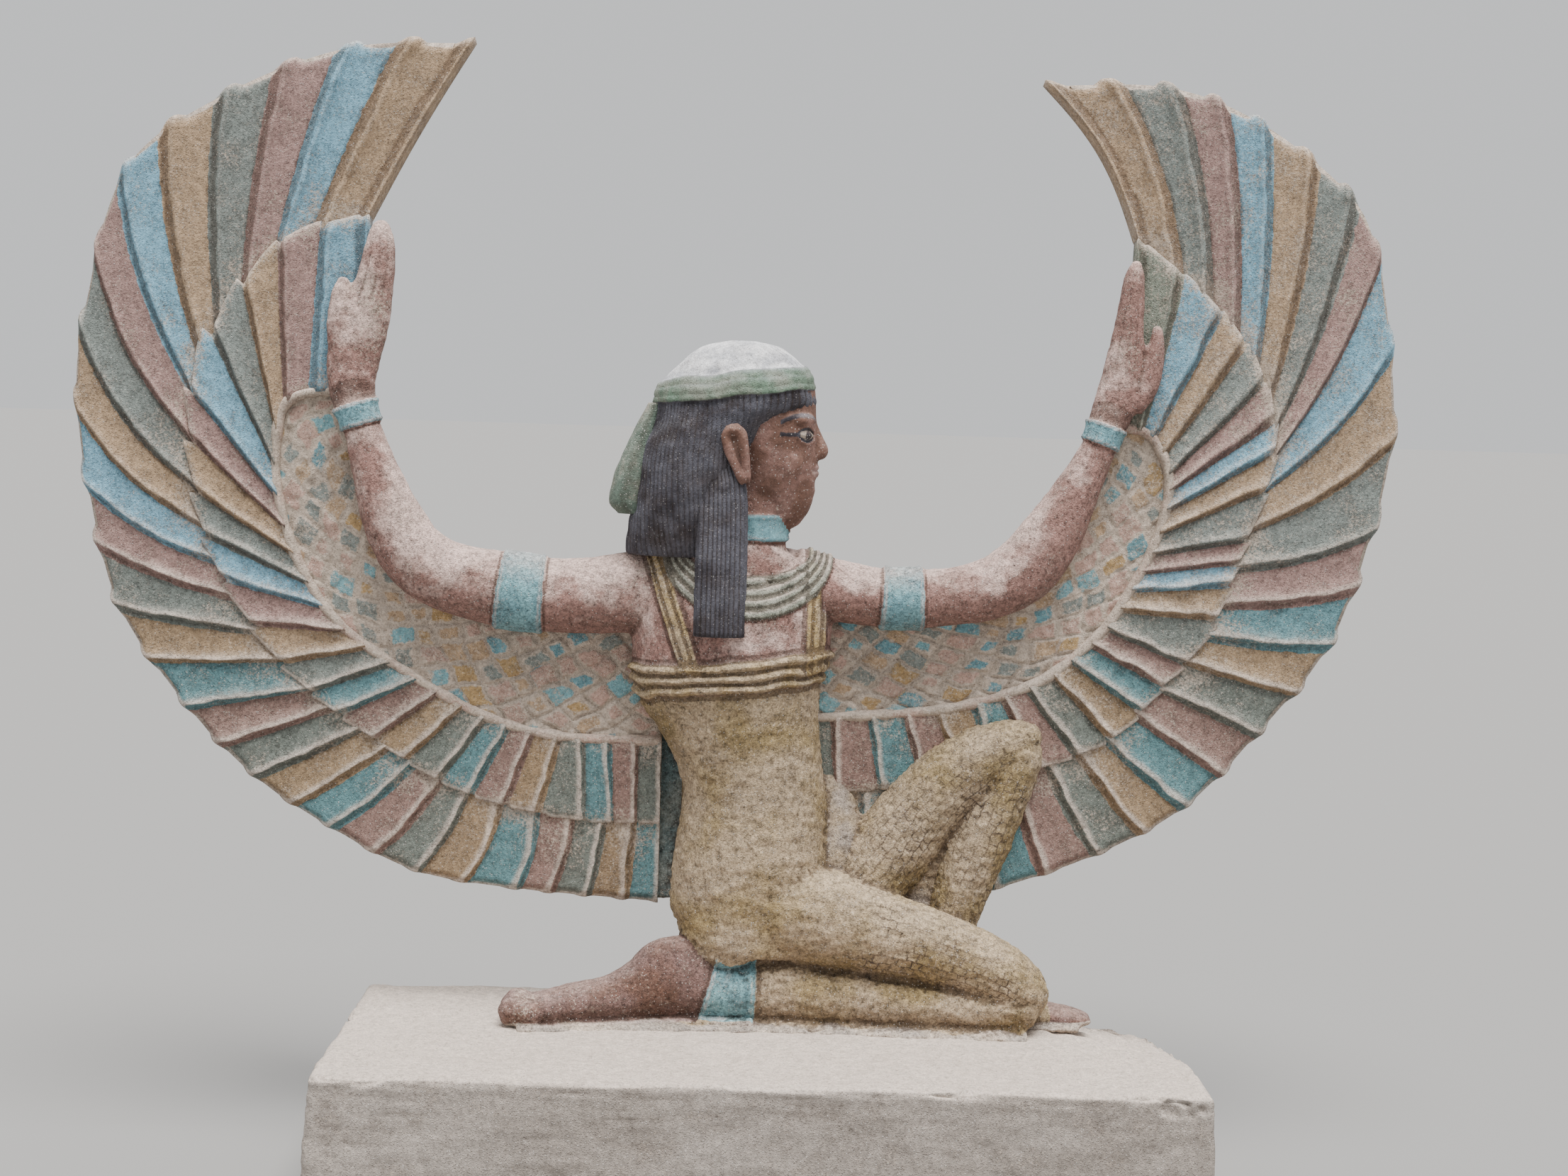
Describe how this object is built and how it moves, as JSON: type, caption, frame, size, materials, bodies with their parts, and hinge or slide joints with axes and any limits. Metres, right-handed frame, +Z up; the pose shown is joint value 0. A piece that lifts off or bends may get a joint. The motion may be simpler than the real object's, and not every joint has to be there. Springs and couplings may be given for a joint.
{
  "type": "kneeling winged goddess statuette on a plinth",
  "caption": "Cast stone statuette of a kneeling goddess in profile, arms raised along two spread feathered wings, on a low rectangular plinth.",
  "frame": {"origin": "centre of the plinth's underside", "axes": "+Z up, +X the way the figure looks, -Y the side its chest and the painted front of its wings face"},
  "size_m": [0.252, 0.072, 0.2095],
  "materials": {
    "painted_stone": "rough, sandy cast stone, hand painted in matt blue, ochre, mauve and grey-green"
  },
  "bodies": {
    "root": {"isis_statue": "painted_stone"}
  },
  "joints": []
}
